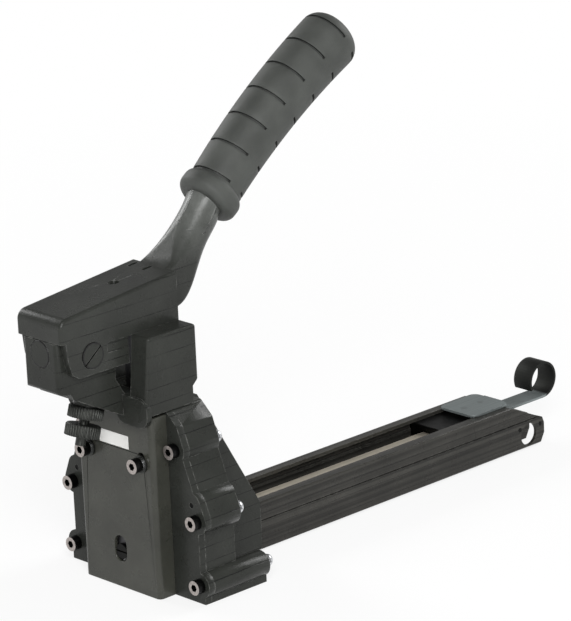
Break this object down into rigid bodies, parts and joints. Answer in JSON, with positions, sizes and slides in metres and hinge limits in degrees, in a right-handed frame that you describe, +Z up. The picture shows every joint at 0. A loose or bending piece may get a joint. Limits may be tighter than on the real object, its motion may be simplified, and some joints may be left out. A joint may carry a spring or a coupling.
{
  "type": "carton-closing stapler",
  "caption": "Hand-operated carton-closing stapler with a lever handle, swinging clinchers and a long rear staple magazine.",
  "frame": {"origin": "where the staple leaves: in the driver plane, on the middle plane, on the base plane", "axes": "+X across, +Y along the magazine to its rear, +Z up from the base"},
  "size_m": [0.1212, 0.4085, 0.302],
  "materials": {
    "casting_paint": "semi-gloss dark paint",
    "plate_paint": "satin",
    "label_film": "matte",
    "grip_rubber": "matte",
    "bronze": "machined",
    "black_steel": "black oxide",
    "zinc": "bright zinc",
    "bare_steel": "brushed",
    "satin_steel": "satin"
  },
  "bodies": {
    "body": {"rear_housing": "casting_paint", "front_housing": "casting_paint", "upper_frame": "casting_paint", "nose_plug": "casting_paint", "pivot_bush": "bronze", "front_plate": "plate_paint", "blank_label": "label_film", "plate_screws": "black_steel", "spring_washers": "zinc", "plate_washers": "black_steel", "plate_spacers": "bare_steel", "clincher_screw": "black_steel", "through_bolts": "black_steel", "dome_nuts": "zinc", "dowel_pins": "black_steel", "frame_studs": "bare_steel", "return_spring": "bare_steel", "magazine_channel": "plate_paint", "staple_core": "bare_steel", "core_tail": "plate_paint", "core_rivets": "bare_steel", "magazine_pins": "black_steel", "magazine_screws": "bare_steel"},
    "handle": {"handle_lever": "casting_paint", "handle_grip": "grip_rubber", "pivot_screw": "plate_paint", "drive_pin": "bare_steel"},
    "roller": {"drive_roller": "bare_steel"},
    "driver": {"crosshead": "bare_steel", "driver_blade": "bare_steel", "blade_rivets": "bare_steel", "cam_plate": "bare_steel", "cam_screws": "bare_steel"},
    "left_clincher": {"clincher_left": "bare_steel", "clincher_left_pin": "bare_steel"},
    "right_clincher": {"clincher_right": "bare_steel", "clincher_right_pin": "bare_steel"},
    "pusher": {"pusher_plate": "satin_steel", "pusher_shoe": "black_steel", "pusher_rivets": "bare_steel"},
    "adjuster": {"adjuster_screw": "black_steel", "adjuster_knob": "black_steel"},
    "lock": {"lock_washer": "zinc", "lock_nut": "black_steel"}
  },
  "joints": [
    {"name": "handle_press", "type": "hinge", "parent": "body", "child": "handle", "pos_m": [0, -0.047, 0.15], "axis": [-1, 0, 0], "range_deg": [0, 35], "stiffness_Nm_per_rad": 4, "springref_deg": -20.05},
    {"name": "roller_spin", "type": "hinge", "parent": "handle", "child": "roller", "pos_m": [0, -0.00113, 0.16446], "axis": [1, 0, 0], "continuous": true},
    {"name": "driver_slide", "type": "slide", "parent": "body", "child": "driver", "axis": [0, 0, -1], "range_m": [0, 0.02893], "deforming": ["return_spring"]},
    {"name": "left_clincher_swing", "type": "hinge", "parent": "body", "child": "left_clincher", "pos_m": [0, -0.0156, 0.0215], "axis": [0, -1, 0], "range_deg": [0, 41]},
    {"name": "right_clincher_swing", "type": "hinge", "parent": "body", "child": "right_clincher", "pos_m": [0, -0.013, 0.0215], "axis": [0, 1, 0], "range_deg": [0, 41]},
    {"name": "pusher_slide", "type": "slide", "parent": "body", "child": "pusher", "axis": [0, -1, 0], "range_m": [0, 0.228]},
    {"name": "adjuster_turn", "type": "hinge", "parent": "body", "child": "adjuster", "pos_m": [0, -0.04186, 0.10122], "axis": [0, 0.2924, 0.9563], "range_deg": [-720, 360]},
    {"name": "lock_turn", "type": "hinge", "parent": "body", "child": "lock", "pos_m": [0, -0.03894, 0.11078], "axis": [0, 0.2924, 0.9563], "range_deg": [-360, 0]}
  ],
  "couplings": [
    {"joint": "driver_slide", "follows": "handle_press", "m_per_rad": 0.047356},
    {"joint": "left_clincher_swing", "follows": "handle_press", "ratio": 1.1714},
    {"joint": "right_clincher_swing", "follows": "handle_press", "ratio": 1.1714}
  ]
}
